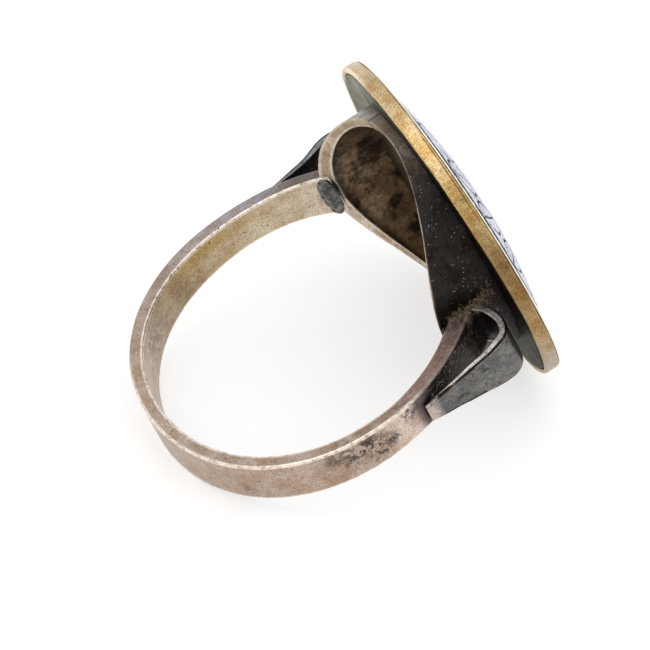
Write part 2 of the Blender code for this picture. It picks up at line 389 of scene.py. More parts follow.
def mesh_from(name, points, faces, marks):
    """A mesh with its faces turned outwards and one attribute for each mark. The mark "tone" is a colour."""
    mesh = bpy.data.meshes.new(name)
    mesh.from_pydata(points, [], faces)
    bm = bmesh.new()
    bm.from_mesh(mesh)
    bmesh.ops.recalc_face_normals(bm, faces=bm.faces)
    bm.to_mesh(mesh)
    bm.free()
    for mark, values in marks.items():
        if mark == "tone":
            attribute = mesh.attributes.new(mark, "FLOAT_COLOR", "POINT")
            attribute.data.foreach_set("color", [channel for colour in values for channel in colour])
        else:
            attribute = mesh.attributes.new(mark, "FLOAT", "POINT")
            attribute.data.foreach_set("value", values)
    return mesh


def skin(name, rows, marks, looped):
    """A mesh over rows of points. Each row is a closed loop; the rows close on themselves or end in caps."""
    around = len(rows[0])
    count = len(rows)
    points = [point for row in rows for point in row]
    faces = []
    for i in range(count if looped else count - 1):
        following = (i + 1) % count
        for k in range(around):
            after = (k + 1) % around
            corners = (i * around + k, i * around + after, following * around + after, following * around + k)
            faces.append(corners)
    if not looped:
        faces.append(tuple(range(around)))
        faces.append(tuple((count - 1) * around + k for k in range(around)))
    return mesh_from(name, points, faces, marks)


def roughen(mesh, size, depth, seed):
    """Push points in and out along their normals by a soft noise, as hand work leaves a surface."""
    normals = [vertex.normal.copy() for vertex in mesh.vertices]
    shift = Vector((seed, 2.7 * seed, -seed))
    for vertex, normal in zip(mesh.vertices, normals):
        vertex.co += normal * noise.noise(vertex.co / size + shift) * depth


def outline(half, thick, corner, flat_steps, end_steps):
    """Points round a rounded rectangle, as (across, depth, how near a corner)."""
    points = []

    def side(start, end, steps):
        length = (end - start).length
        for step in range(1, steps):
            share = 0.5 - 0.5 * math.cos(math.pi * step / steps)
            place = start.lerp(end, share)
            edge = max(0.0, 1.0 - min(share, 1.0 - share) * length / CORNER_WEAR_AND_HIGHLIGHT)
            points.append((place.x, place.y, edge))

    def turn(centre, start_angle):
        for step in range(TURN_STEPS + 1):
            angle = start_angle + math.pi / 2 * step / TURN_STEPS
            points.append((centre.x + corner * math.cos(angle), centre.y + corner * math.sin(angle), 1.0))

    low, high = corner, thick - corner
    left, right = -half + corner, half - corner
    turn(Vector((left, low)), math.pi)
    side(Vector((left, 0.0)), Vector((right, 0.0)), flat_steps)
    turn(Vector((right, low)), 1.5 * math.pi)
    side(Vector((half, low)), Vector((half, high)), end_steps)
    turn(Vector((right, high)), 0.0)
    side(Vector((right, thick)), Vector((left, thick)), flat_steps)
    turn(Vector((left, high)), 0.5 * math.pi)
    side(Vector((-half, high)), Vector((-half, low)), end_steps)
    return points


def inside_radius(angle):
    wave = OVAL_AMOUNT * math.cos(2 * angle + OVAL_PHASE)
    wave += THIRD_AMOUNT * math.cos(3 * angle + THIRD_PHASE)
    wave += FOURTH_AMOUNT * math.cos(4 * angle)
    return FINGER_RADIUS * (1 + wave)


def band_thickness(angle):
    at_right_end = math.cos(angle) > 0 and math.sin(angle) > 0
    return BAND_THICKNESS + (RIGHT_END_SWELL * math.sin(angle) ** 2 if at_right_end else 0.0)


def band_width(angle):
    rise = math.sin(angle)
    return BAND_WIDTH * (1 - WIDER_BELOW * rise + WIDER_AT_ENDS * max(0.0, rise) ** 2)


def band_point(angle, across, depth):
    out = Vector((math.cos(angle), 0.0, math.sin(angle)))
    return out * (inside_radius(angle) + depth) + Vector((0.0, across, 0.0))


def wall_middle(across, side):
    """X of the middle of the collar's wall at one Y, on the right (+1) or left (-1)."""
    half_x = COLLAR_HALF_X - COLLAR_WALL / 2
    half_y = COLLAR_HALF_Y - COLLAR_WALL / 2
    share = (across - HEAD_CENTRE.y) / half_y
    return HEAD_CENTRE.x + side * half_x * math.sqrt(1 - share**2)


def end_angle(across, depth, side):
    """Where a lengthwise line of the band runs into the middle of the collar's wall."""
    target = wall_middle(across, side)
    low, high = (20.0, 70.0) if side > 0 else (160.0, 110.0)
    for _ in range(30):
        middle = (low + high) / 2
        if abs(band_point(math.radians(middle), across, depth).x) > abs(target):
            low = middle
        else:
            high = middle
    return math.radians(low)


def stain_at(point, stains):
    """How dirty a point is, from the stains round it."""
    dirt = 0.0
    for place, radius, strength in stains:
        near = 1.0 - (point - place).length / radius
        if near > 0:
            dirt = max(dirt, strength * min(1.0, 1.6 * near))
    return dirt


def corner_shine(degrees, outside):
    """How brightly the band's corners shine at one angle, from wear and a painted highlight."""
    shine = max(RIGHT_SHINE, min(1.0, (RIGHT_DULL_FROM - degrees) / RIGHT_FADE))
    if outside:
        shine *= max(LEFT_SHINE, min(1.0, (degrees - LEFT_DULL_TO) / LEFT_FADE))
    return shine


def make_band():
    stains = []
    for degrees, across, share, radius, strength in BAND_STAINS:
        angle = math.radians(degrees)
        place = band_point(angle, across * band_width(angle) / 2, share * band_thickness(angle))
        stains.append((place, radius * MM, strength))
    left, right = math.radians(BAND_START), math.radians(BAND_END)
    first = outline(band_width(left) / 2, band_thickness(left), BAND_CORNER, *BAND_SECTION)
    last = outline(band_width(right) / 2, band_thickness(right), BAND_CORNER, *BAND_SECTION)
    starts = [end_angle(across, depth, -1) for across, depth, _ in first]
    ends = [end_angle(across, depth, 1) + math.tau for across, depth, _ in last]
    rows = []
    marks = {"edge": [], "dirt": [], "along": [], "across": [], "tone": []}
    for step in range(BAND_STEPS + 1):
        share = step / BAND_STEPS
        nominal = left + (right - left) * share
        half, thick = band_width(nominal) / 2, band_thickness(nominal)
        section = outline(half, thick, BAND_CORNER, *BAND_SECTION)
        degrees = math.degrees(nominal)
        side_tone = tone_at(BAND_SIDE_TONES, degrees)
        inside_tone = tone_at(BAND_INSIDE_TONES, degrees)
        outside_tone = tone_at(BAND_OUTSIDE_TONES, degrees)
        row = []
        for k, (across, depth, edge) in enumerate(section):
            angle = starts[k] + (ends[k] - starts[k]) * share
            point = band_point(angle, across, depth)
            row.append(point)
            # Corner brightness: wear and a painted highlight
            marks["edge"].append(edge * corner_shine(degrees, depth > thick / 2))
            marks["dirt"].append(stain_at(point, stains))
            on_side = min(1.0, max(0.0, (abs(across) - half + BAND_CORNER) / BAND_CORNER))
            place = across / half
            round_off = ((degrees - YELLOW_ANGLE) / YELLOW_REACH) ** 2
            across_off = ((place - YELLOW_PLACE) / YELLOW_SPREAD) ** 2
            inner_tone = blend(inside_tone, BAND_YELLOW, math.exp(-round_off - across_off))
            face_tone = outside_tone if depth > thick / 2 else inner_tone
            marks["tone"].append(blend(face_tone, side_tone, on_side))
            marks["along"].append(nominal * FINGER_RADIUS / MM)
            marks["across"].append((across + depth) / MM)
        rows.append(row)
    mesh = skin("band", rows, marks, looped=False)
    roughen(mesh, size=2.5 * MM, depth=0.020 * MM, seed=3.1)
    roughen(mesh, size=0.6 * MM, depth=0.005 * MM, seed=7.3)
    finish_piece("band", mesh, "shank", band_material())


def smooth_path(knots):
    """Points along a smooth curve through the knots (mm), in metres."""
    knots = [Vector((x, 0.0, z)) * MM for x, z in knots]
    points = []
    for k in range(len(knots) - 1):
        before = knots[max(k - 1, 0)]
        after = knots[min(k + 2, len(knots) - 1)]
        handle_out = knots[k] + (knots[k + 1] - before) / 6
        handle_in = knots[k + 1] - (after - knots[k]) / 6
        piece = interpolate_bezier(knots[k], handle_out, handle_in, knots[k + 1], STRIP_STEPS + 1)
        points += piece if k == 0 else piece[1:]
    return points


def make_strip(side):
    path = smooth_path(STRIP_PATHS[side])
    foot_edges, full_edges = STRIP_EDGES[side]
    inward_turn = 1.0 if side == "right" else -1.0
    tones = STRIP_TONES[side]
    rows = []
    marks = {"edge": [], "dirt": [], "along": [], "across": [], "tone": []}
    travel = 0.0
    for i, point in enumerate(path):
        along = (path[min(i + 1, len(path) - 1)] - path[max(i - 1, 0)]).normalized()
        travel += (point - path[max(i - 1, 0)]).length
        inward = Vector((-along.z, 0.0, along.x)) * inward_turn
        reach = min((point.z - path[0].z) / (STRIP_FULL_HEIGHT - path[0].z), 1.0)
        near = (foot_edges[0] + (full_edges[0] - foot_edges[0]) * reach) * MM
        far = (foot_edges[1] + (full_edges[1] - foot_edges[1]) * reach) * MM
        thick = STRIP_FOOT_THICKNESS + (STRIP_THICKNESS - STRIP_FOOT_THICKNESS) * reach
        row = []
        for across, depth, edge in outline((far - near) / 2, thick, STRIP_CORNER, *STRIP_SECTION):
            place = point + inward * depth + Vector((0.0, (near + far) / 2 + across, 0.0))
            row.append(place)
            on_side = min(1.0, max(0.0, (abs(across) - (far - near) / 2 + STRIP_CORNER) / STRIP_CORNER))
            foot = max(0.0, 1.0 - travel / STRIP_FOOT_REACH) ** 0.5
            # The outer face takes its tones; the inner face, towards the band, is painted shade with soot
            face_tone = blend(tones["outside"], tones["foot"], foot) if depth < thick / 2 else SHADE_AND_SOOT
            # Away from the foot, the outer face's corners are darkened
            darkened_corner = 1 - foot if depth < thick / 2 and edge > STRIP_DARK_CORNER_EDGE else 0.0
            marks["tone"].append(blend(blend(face_tone, tones["side"], on_side), SHADE_AND_SOOT, darkened_corner))
            # Corner brightness: wear and a painted highlight
            marks["edge"].append((1 - darkened_corner) * edge * STRIP_SHINE[side])
            marks["dirt"].append(STRIP_DIRT * (1 - on_side) * (1 - foot))
            marks["along"].append(travel / MM)
            marks["across"].append((across + depth) / MM)
        rows.append(row)
    mesh = skin("shoulder_" + side, rows, marks, looped=False)
    roughen(mesh, size=1.4 * MM, depth=0.035 * MM, seed=5.0)
    roughen(mesh, size=0.35 * MM, depth=0.012 * MM, seed=1.7)
    finish_piece("shoulder_" + side, mesh, "shoulder_strip_" + side, strip_material(side))


def make_collar():
    steps = 560
    top = COLLAR_HIGH.z + JOINT_GAP
    rows = []
    marks = {"edge": [], "dirt": [], "seam": [], "along": [], "across": [], "tone": []}
    for step in range(steps):
        angle = math.tau * step / steps
        seam_gap = abs((angle - COLLAR_SEAM + math.pi) % math.tau - math.pi) * COLLAR_HALF_X
        seam = max(0.0, 1.0 - seam_gap / COLLAR_SEAM_WIDTH)
        outside_tone = tone_at(COLLAR_OUTSIDE_TONES, (math.degrees(angle) + 180.0) % 360.0 - 180.0)
        row = []
        for across, depth, edge in outline(0.5, COLLAR_WALL, COLLAR_CORNER, *COLLAR_SECTION):
            x = HEAD_CENTRE.x + (COLLAR_HALF_X - COLLAR_WALL + depth) * math.cos(angle)
            y = HEAD_CENTRE.y + (COLLAR_HALF_Y - COLLAR_WALL + depth) * math.sin(angle)
            low = math.sqrt(SADDLE_RADIUS**2 - (x - HEAD_CENTRE.x) ** 2)
            row.append(Vector((x, y, low + (across + 0.5) * (top - low))))
            marks["seam"].append(seam)
            deep = min(1.0, max(0.0, (across - COLLAR_MOUTH_FROM) / COLLAR_MOUTH_DEPTH))
            wall_tone = blend(blend(COLLAR_MOUTH, COLLAR_INSIDE, deep), outside_tone, depth / COLLAR_WALL)
            on_wall = min(1.0, max(0.0, (across - COLLAR_EDGE_FROM) / COLLAR_EDGE_DEPTH))
            marks["tone"].append(blend(COLLAR_EDGE, wall_tone, on_wall))
            marks["dirt"].append(COLLAR_DIRT * on_wall * (1.0 - depth / COLLAR_WALL))
            marks["edge"].append(edge if across < 0 else 0.0)
            marks["along"].append(angle * COLLAR_HALF_X / MM)
            marks["across"].append(across * COLLAR_GRAIN + depth / MM)
        rows.append(row)
    mesh = skin("collar_tube", rows, marks, looped=True)
    roughen(mesh, size=2.2 * MM, depth=0.045 * MM, seed=2.0)
    roughen(mesh, size=0.5 * MM, depth=0.010 * MM, seed=9.0)
    finish_piece("collar_tube", mesh, "collar", collar_material())


def polar(name, profile, steps, tones, lift=None):
    """A solid turned about the head's axis. Its profile starts and ends on the axis."""
    points = [Vector((0.0, 0.0, profile[0][1])) + HEAD_CENTRE]
    lifts = [0.0]
    ring_tones = [tone_at(tones, (360.0 * step / steps + 180.0) % 360.0 - 180.0) for step in range(steps)]
    middle_tone = tone_at(tones, 0.0)
    for radius, height in profile[1:-1]:
        for step in range(steps):
            angle = math.tau * step / steps
            rise = lift(radius, angle, height) if lift else 0.0
            place = Vector((radius * math.cos(angle), radius * math.sin(angle), height + rise))
            points.append(HEAD_CENTRE + place)
            lifts.append(rise / MM)
    points.append(Vector((0.0, 0.0, profile[-1][1])) + HEAD_CENTRE)
    lifts.append(0.0)
    faces = []
    for k in range(steps):
        after = (k + 1) % steps
        faces.append((0, 1 + after, 1 + k))
        for ring in range(len(profile) - 3):
            start = 1 + ring * steps
            faces.append((start + k, start + after, start + steps + after, start + steps + k))
        last = 1 + (len(profile) - 3) * steps
        faces.append((last + k, last + after, len(points) - 1))
    colours = [middle_tone] + ring_tones * (len(profile) - 2) + [middle_tone]
    return mesh_from(name, points, faces, {"cut": lifts, "tone": colours})


def make_plate():
    low, high = PLATE_LOW.z, PLATE_HIGH.z
    corner = 0.05 * MM
    rings = 40
    profile = [(PLATE_RADIUS * k / rings, low) for k in range(rings)]
    profile += [(PLATE_RADIUS - corner, low), (PLATE_RADIUS, low + corner), (PLATE_RADIUS, high - corner)]
    profile += [(PLATE_RADIUS * (rings - 1 - k) / rings, high) for k in range(rings)]
    mesh = polar("plate", profile, 256, PLATE_TONES)
    roughen(mesh, size=2.0 * MM, depth=0.025 * MM, seed=4.4)
    finish_piece("plate", mesh, "back_plate", plate_material())


def make_rim():
    steps = 720
    half = (RIM_HIGH.z - RIM_LOW.z) / 2
    rows = []
    marks = {"edge": [], "seam": [], "along": [], "across": [], "tone": []}
    for step in range(steps):
        angle = math.tau * step / steps
        degrees = math.degrees(angle)
        tone = tone_at(RIM_TONES, (degrees + 180.0) % 360.0 - 180.0)
        row = []
        for across, depth, edge in outline(half, RIM_WALL, RIM_CORNER, *RIM_SECTION):
            radius = HEAD_RADIUS - RIM_WALL + depth
            row.append(HEAD_CENTRE + Vector((radius * math.cos(angle), radius * math.sin(angle), 0.0)))
            row[-1].z = RIM_LOW.z + half + across
            scarf_height = half - SCARF_BELOW_EDGE - SCARF_FALL * (degrees - SCARF_LEVEL) / SCARF_SPAN
            near_scarf = max(0.0, 1.0 - abs(across - scarf_height) / SCARF_WIDTH)
            marks["seam"].append(near_scarf if SCARF_START < degrees < SCARF_END else 0.0)
            # The lower corner's wear, with a painted highlight peaking at one angle
            wear_and_highlight = max(RIM_SHINE, 1.0 - ((degrees - RIM_HIGHLIGHT_AT) / RIM_HIGHLIGHT_REACH) ** 2)
            shine = wear_and_highlight if across < 0 else RIM_SHINE
            marks["edge"].append(edge * shine if depth > RIM_WALL / 2 else 0.0)
            marks["tone"].append(tone)
            marks["along"].append(angle * HEAD_RADIUS / MM)
            marks["across"].append((across + depth) / MM)
        rows.append(row)
    mesh = skin("rim", rows, marks, looped=True)
    roughen(mesh, size=1.8 * MM, depth=0.040 * MM, seed=6.0)
    roughen(mesh, size=0.45 * MM, depth=0.010 * MM, seed=2.4)
    finish_piece("rim", mesh, "bezel_rim", rim_material())


def make_lip():
    steps = 640
    thick = LIP_HIGH.z - LIP_LOW.z
    outer = (LIP_HIGH.x - LIP_LOW.x) / 2
    rows = []
    marks = {"edge": []}
    for step in range(steps):
        angle = math.tau * step / steps
        out = Vector((math.cos(angle), math.sin(angle), 0.0))
        wavy = sum(depth * noise.noise(out * fineness) for fineness, depth in LIP_WAVES)
        row = []
        for across, depth, edge in outline(LIP_WIDTH / 2, thick, LIP_CORNER, *LIP_SECTION):
            inward_share = 0.5 - across / LIP_WIDTH
            radius = outer - LIP_WIDTH / 2 + across + wavy * inward_share
            row.append(HEAD_CENTRE + out * radius + Vector((0.0, 0.0, LIP_LOW.z - JOINT_GAP + depth)))
            marks["edge"].append(edge)
        rows.append(row)
    mesh = skin("lip", rows, marks, looped=True)
    finish_piece("lip", mesh, "bezel_lip", lip_material())


def cap_arc(edge_radius, edge_height, rise, steps):
    """A dome's (radius, height) pairs, from its middle down to its edge."""
    ball = (edge_radius**2 + rise**2) / (2 * rise)
    widest = math.asin(edge_radius / ball)
    centre = edge_height + rise - ball
    arc = []
    for step in range(steps + 1):
        angle = widest * step / steps
        arc.append((ball * math.sin(angle), centre + ball * math.cos(angle)))
    return arc


def groove(distance, width):
    """1 in the middle of a cut line, falling to 0 at its sides."""
    return max(0.0, 1.0 - (distance / width) ** 2)


def engraving(radius, angle):
    """The plaque's cut pattern: a beaded border, a ring of leaves and a rosette, all of a generic kind."""
    r = radius / MM
    cut = 0.0
    if BEAD_LOW < r < BEAD_HIGH:
        bead = abs(math.sin(angle * BEADS / 2))
        cut = BEAD_CUT * (1 - bead * math.sin(math.pi * (r - BEAD_LOW) / BEAD_LENGTH))
    for ring, width in RING_LINES:
        cut = max(cut, DEEP_CUT * groove(r - ring, width))
    if LEAF_LOW < r < LEAF_HIGH:
        share = (r - LEAF_LOW) / LEAF_LENGTH
        turned = (angle * LEAVES / math.tau + 0.35 * share) % 1.0
        across = abs(turned - 0.5) * 2
        leaf = 0.82 * math.sin(math.pi * share) ** 0.7
        pitch = math.tau * r / LEAVES / 2
        cut = max(cut, DEEP_CUT * groove((across - leaf) * pitch, 0.10))
        cut = max(cut, LEAF_MIDDLE_CUT * groove(across * pitch, 0.07))
        vein = abs((share * 9 - across * 1.6) % 1.0 - 0.5)
        hatch = abs((r * 5.0) % 1.0 - 0.5)
        cut = max(cut, FINE_CUT * (groove(vein, 0.16) if across < leaf else groove(hatch, 0.22)))
    if PETAL_LOW < r < PETAL_HIGH:
        share = (r - PETAL_LOW) / PETAL_LENGTH
        across = abs((angle * PETALS / math.tau) % 1.0 - 0.5) * 2
        petal = 0.92 * math.sin(math.pi * min(1.0, share * 0.80 + 0.22)) ** 0.5
        pitch = math.tau * r / PETALS / 2
        cut = max(cut, DEEP_CUT * groove((across - petal) * pitch, 0.10))
        cut = max(cut, PETAL_MIDDLE_CUT * groove(across * pitch, 0.06))
        if across < petal:
            line = abs((across * 5) % 1.0 - 0.5)
            cut = max(cut, FINE_CUT * groove(line, 0.18) * min(1.0, share * 2))
    return -cut * MM


def cap_height(radius, arc):
    """The dome's height over one radius."""
    for (inner, high), (outer, low) in zip(arc, arc[1:]):
        if inner <= radius <= outer:
            return high + (low - high) * (radius - inner) / (outer - inner)
    return arc[-1][1]


def make_plaque():
    flange = PLATE_RADIUS
    dome_edge = flange - PLAQUE_FLANGE
    flange_top = RIM_HIGH.z
    flange_low = flange_top - PLAQUE_THICKNESS
    outside = cap_arc(dome_edge, flange_top, DOME_RISE, 190)
    inside = cap_arc(dome_edge - PLAQUE_THICKNESS, flange_low, DOME_RISE, 12)
    profile = outside + [(flange, flange_top), (flange, flange_low)] + inside[::-1]
    surface = flange_top - 0.01 * MM

    def lift(radius, angle, height):
        on_outside = height > cap_height(radius, outside) - 0.02 * MM
        return engraving(radius, angle) if height > surface and on_outside else 0.0

    mesh = polar("plaque", profile, 720, PLAQUE_TONES, lift)
    finish_piece("plaque", mesh, "face_plaque", plaque_material())


def make_solder(side, centre, sizes, slope, seed):
    """A rough oval lump. It isn't cut back, so it runs into the band and the collar."""
    bm = bmesh.new()
    bmesh.ops.create_icosphere(bm, subdivisions=5, radius=1.0)
    bmesh.ops.scale(bm, verts=bm.verts, vec=Vector(sizes) * MM)
    bmesh.ops.rotate(bm, verts=bm.verts, matrix=Matrix.Rotation(math.radians(slope), 3, "Y"))
    bmesh.ops.translate(bm, verts=bm.verts, vec=Vector(centre) * MM)
    mesh = bpy.data.meshes.new("solder_lump_" + side)
    bm.to_mesh(mesh)
    bm.free()
    roughen(mesh, size=0.75 * MM, depth=0.10 * MM, seed=seed)
    roughen(mesh, size=0.22 * MM, depth=0.03 * MM, seed=seed + 3)
    finish_piece("solder_lump_" + side, mesh, "solder_" + side, solder_material())


def make_lint():
    """Fibres and dust caught at the right shoulder: thin curled threads, all in one curve object."""
    rng = random.Random(11)
    roots = []
    for centre, spread, count in LINT_CLUMPS:
        for _ in range(count):
            place = centre + Vector([rng.gauss(0.0, 0.5) * spread[k] for k in range(3)])
            roots.append((place, None))
    for _ in range(OPENING_FIBRES):
        angle = math.radians(rng.uniform(*OPENING_ANGLES))
        across = rng.uniform(-0.45, 0.35) * band_width(angle)
        place = band_point(angle, across, band_thickness(angle) + 0.01 * MM) / MM
        roots.append((place, Vector((math.cos(angle), 0.0, math.sin(angle)))))
    curve = bpy.data.curves.new("lint", "CURVE")
    curve.dimensions = "3D"
    curve.bevel_depth = FIBRE_RADIUS
    curve.bevel_resolution = 1
    curve.use_fill_caps = True
    for point, out in roots:
        heading = Vector([rng.uniform(-1, 1) for _ in range(3)]).normalized()
        spline = curve.splines.new("POLY")
        steps = rng.randint(3, 9)
        spline.points.add(steps)
        for step in range(steps + 1):
            spline.points[step].co = (*(point * MM), 1.0)
            spline.points[step].radius = rng.uniform(0.6, 1.3)
            heading = (heading + Vector([rng.gauss(0.0, FIBRE_CURL) for _ in range(3)])).normalized()
            if out is not None:
                heading = (heading - out * heading.dot(out) * FIBRE_HUG).normalized()
            point = point + heading * FIBRE_STEP
    piece = bpy.data.objects.new("lint", curve)
    bpy.context.scene.collection.objects.link(piece)
    curve.materials.append(lint_material())
    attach(piece, BODY)


# ---------------------------------------------------------------- materials


class Shader:
    """One node material, with short names for the nodes that these metals need."""

    def __init__(self, name, metallic=1.0):
        self.material = bpy.data.materials.new(name)
        self.material.use_nodes = True
        self.tree = self.material.node_tree
        self.surface = self.tree.nodes["Principled BSDF"]
        self.surface.inputs["Metallic"].default_value = metallic
        coordinates = self.tree.nodes.new("ShaderNodeTexCoord")
        to_mm = self.node("ShaderNodeVectorMath", operation="SCALE")
        self.tree.links.new(coordinates.outputs["Object"], to_mm.inputs[0])
        to_mm.inputs["Scale"].default_value = 1 / MM
        self.mm = to_mm.outputs[0]
        self.normal = None

    def node(self, kind, **settings):
        made = self.tree.nodes.new(kind)
        for setting, value in settings.items():
            setattr(made, setting, value)
        return made

    def put(self, value, socket):
        """Link an output to a socket, or set a plain value on it."""
        if isinstance(value, bpy.types.NodeSocket):
            self.tree.links.new(value, socket)
        else:
            socket.default_value = value

    def noise(self, per_mm, detail=3.0, rough=0.55, twist=0.0, where=None):
        """Soft noise with so many features to the mm, over the object or over other coordinates."""
        made = self.node("ShaderNodeTexNoise")
        self.put(where or self.mm, made.inputs["Vector"])
        settings = {"Scale": per_mm, "Detail": detail, "Roughness": rough, "Distortion": twist}
        for socket, value in settings.items():
            made.inputs[socket].default_value = value
        return made.outputs["Fac"]

    def cells(self, per_mm):
        """Distance to the nearest of scattered points, for pits and specks."""
        made = self.node("ShaderNodeTexVoronoi")
        self.put(self.mm, made.inputs["Vector"])
        made.inputs["Scale"].default_value = per_mm
        return made.outputs["Distance"]

    def mark(self, name):
        return self.node("ShaderNodeAttribute", attribute_name=name).outputs["Fac"]

    def grain(self, along_scale, across_scale):
        """Coordinates stretched along a piece, for brushed lines."""
        joined = self.node("ShaderNodeCombineXYZ")
        self.put(self.math("MULTIPLY", self.mark("along"), along_scale), joined.inputs[0])
        self.put(self.math("MULTIPLY", self.mark("across"), across_scale), joined.inputs[1])
        return joined.outputs[0]

    def math(self, operation, first, second):
        made = self.node("ShaderNodeMath", operation=operation)
        self.put(first, made.inputs[0])
        self.put(second, made.inputs[1])
        return made.outputs[0]

    def ramp(self, value, low, high, to_low=0.0, to_high=1.0):
        """A value stretched from low..high to to_low..to_high, with soft ends."""
        made = self.node("ShaderNodeMapRange", interpolation_type="SMOOTHSTEP")
        self.put(value, made.inputs["Value"])
        settings = {"From Min": low, "From Max": high, "To Min": to_low, "To Max": to_high}
        for socket, number in settings.items():
            made.inputs[socket].default_value = number
        return made.outputs["Result"]

    def tone(self):
        return self.node("ShaderNodeAttribute", attribute_name="tone").outputs["Color"]

    def mix(self, share, first, second, how="MIX"):
        made = self.node("ShaderNodeMix", data_type="RGBA", blend_type=how)
        self.put(share, made.inputs["Factor"])
        self.put(first, made.inputs[6])
        self.put(second, made.inputs[7])
        return made.outputs[2]

    def bump(self, height, depth_mm, strength=1.0):
        made = self.node("ShaderNodeBump")
        made.inputs["Strength"].default_value = strength
        made.inputs["Distance"].default_value = depth_mm * MM
        self.put(height, made.inputs["Height"])
        if self.normal:
            self.put(self.normal, made.inputs["Normal"])
        self.normal = made.outputs["Normal"]

    def done(self, colour, roughness):
        self.put(colour, self.surface.inputs["Base Color"])
        self.put(roughness, self.surface.inputs["Roughness"])
        if self.normal:
            self.put(self.normal, self.surface.inputs["Normal"])
        return self.material


def worn(shader, shade, tarnish, bright, grain=0.35, clouds=(0.60, 0.78), pits=1.0):
    """Clouded, specked and scratched metal, its edges bright with wear and a painted highlight: its colour and
    its roughness.
    """
    shaded = shader.ramp(shader.noise(0.7, 5.0, 0.6, 0.3), 0.40, 0.64)
    tone = shader.mix(shaded, shader.tone(), shade, "MULTIPLY")
    fine = shader.noise(11.0, 4.0, 0.75)
    tone = shader.mix(shader.ramp(fine, 0.46, 0.64, 0.0, grain), tone, tarnish)
    tone = shader.mix(shader.ramp(fine, 0.50, 0.36, 0.0, grain), tone, LIFT, "MULTIPLY")
    mottled = shader.ramp(shader.noise(3.2, 6.0, 0.68), 0.48, 0.66, 0.0, 0.5)
    tone = shader.mix(mottled, tone, SINK, "MULTIPLY")
    patchy = shader.ramp(shader.noise(2.6, 7.0, 0.70, 0.2), 0.43, 0.56)
    stained = shader.math("MULTIPLY", shader.mark("dirt"), patchy)
    cloud = shader.ramp(shader.noise(1.1, 6.0, 0.68, 0.2), clouds[0], clouds[1], 0.0, 0.8)
    dark = shader.math("MAXIMUM", stained, cloud)
    colour = shader.mix(dark, tone, tarnish)
    scratch = shader.noise(1.0, 3.0, 0.6, 0.0, shader.grain(0.9, 22.0))
    colour = shader.mix(shader.ramp(scratch, 0.60, 0.80, 0.0, 0.18), colour, bright)
    # Bright corners: wear with a painted highlight
    edge = shader.math("POWER", shader.mark("edge"), 2.2)
    edge = shader.math("MULTIPLY", edge, shader.ramp(shader.noise(3.5, 6.0, 0.72), 0.30, 0.58, 0.0, 0.85))
    colour = shader.mix(edge, colour, bright)
    pit = shader.ramp(shader.cells(1.1), 0.03, 0.10)
    pit = shader.math("MAXIMUM", pit, 1.0 - pits)
    colour = shader.mix(pit, tarnish, colour)
    shader.bump(shader.noise(3.0, 4.0, 0.6), 0.030, 0.5)
    shader.bump(fine, 0.012, 0.6)
    shader.bump(scratch, 0.008, 0.5)
    shader.bump(pit, 0.030, 0.6)
    dull = shader.math("SUBTRACT", dark, shader.math("MULTIPLY", edge, 0.5))
    return colour, shader.ramp(dull, -0.5, 1.0, 0.26, 0.56)


def specks(shader, colour, per_mm, size, speck):
    """Fine dust: small pale grains scattered over a surface."""
    grain = shader.ramp(shader.cells(per_mm), size, 0.6 * size)
    scattered = shader.ramp(shader.noise(0.9, 4.0, 0.6), 0.46, 0.58)
    return shader.mix(shader.math("MULTIPLY", grain, scattered), colour, speck)


def band_material():
    shader = Shader("worn_band_silver")
    colour, rough = worn(
        shader,
        shade=rgb(232, 222, 208),
        tarnish=rgb(78, 68, 66),
        bright=rgb(248, 234, 220),
        grain=0.45,
        clouds=(0.68, 0.88),
    )
    return shader.done(colour, rough)


def strip_material(side):
    shader = Shader("worn_strip_silver_" + side)
    colour, rough = worn(
        shader,
        shade=rgb(206, 214, 226),
        tarnish=rgb(42, 41, 43),
        bright=rgb(226, 216, 208),
        grain=0.50,
        clouds=(0.52, 0.66),
    )
    ochre = shader.ramp(shader.noise(2.2, 6.0, 0.72), 0.58, 0.66, 0.0, 0.55)
    return shader.done(shader.mix(ochre, colour, rgb(150, 132, 100)), rough)


def collar_material():
    shader = Shader("blackened_collar_silver")
    colour, rough = worn(
        shader,
        shade=rgb(200, 188, 172),
        tarnish=rgb(34, 29, 25),
        bright=rgb(214, 200, 186),
        grain=0.40,
        clouds=(0.56, 0.74),
        pits=0.6,
    )
    patchy = shader.ramp(shader.noise(0.75, 7.0, 0.66), 0.47, 0.62)
    soot = shader.math("MULTIPLY", shader.mark("dirt"), patchy)
    colour = shader.mix(shader.math("MULTIPLY", soot, 2.2), colour, rgb(34, 29, 24))
    colour = shader.mix(shader.mark("seam"), colour, rgb(22, 18, 16))
    shader.bump(shader.mark("seam"), -0.04)
    colour = specks(shader, colour, 4.5, 0.20, rgb(132, 126, 118))
    return shader.done(colour, rough)


def plate_material():
    shader = Shader("blackened_plate_silver")
    colour, rough = worn(
        shader,
        shade=rgb(206, 204, 190),
        tarnish=rgb(34, 30, 26),
        bright=rgb(176, 172, 158),
        grain=0.40,
        clouds=(0.52, 0.72),
        pits=0.6,
    )
    colour = specks(shader, colour, 4.0, 0.20, rgb(172, 166, 142))
    shader.surface.inputs["Specular Tint"].default_value = (0.42, 0.42, 0.40, 1.0)
    return shader.done(colour, rough)


def rim_material():
    shader = Shader("worn_gilt_brass")
    colour, rough = worn(
        shader,
        shade=rgb(232, 214, 184),
        tarnish=rgb(88, 66, 42),
        bright=rgb(246, 228, 188),
        grain=0.60,
        clouds=(0.60, 0.80),
    )
    colour = shader.mix(shader.mark("seam"), colour, rgb(74, 54, 32))
    shader.bump(shader.mark("seam"), -0.03)
    return shader.done(colour, rough)


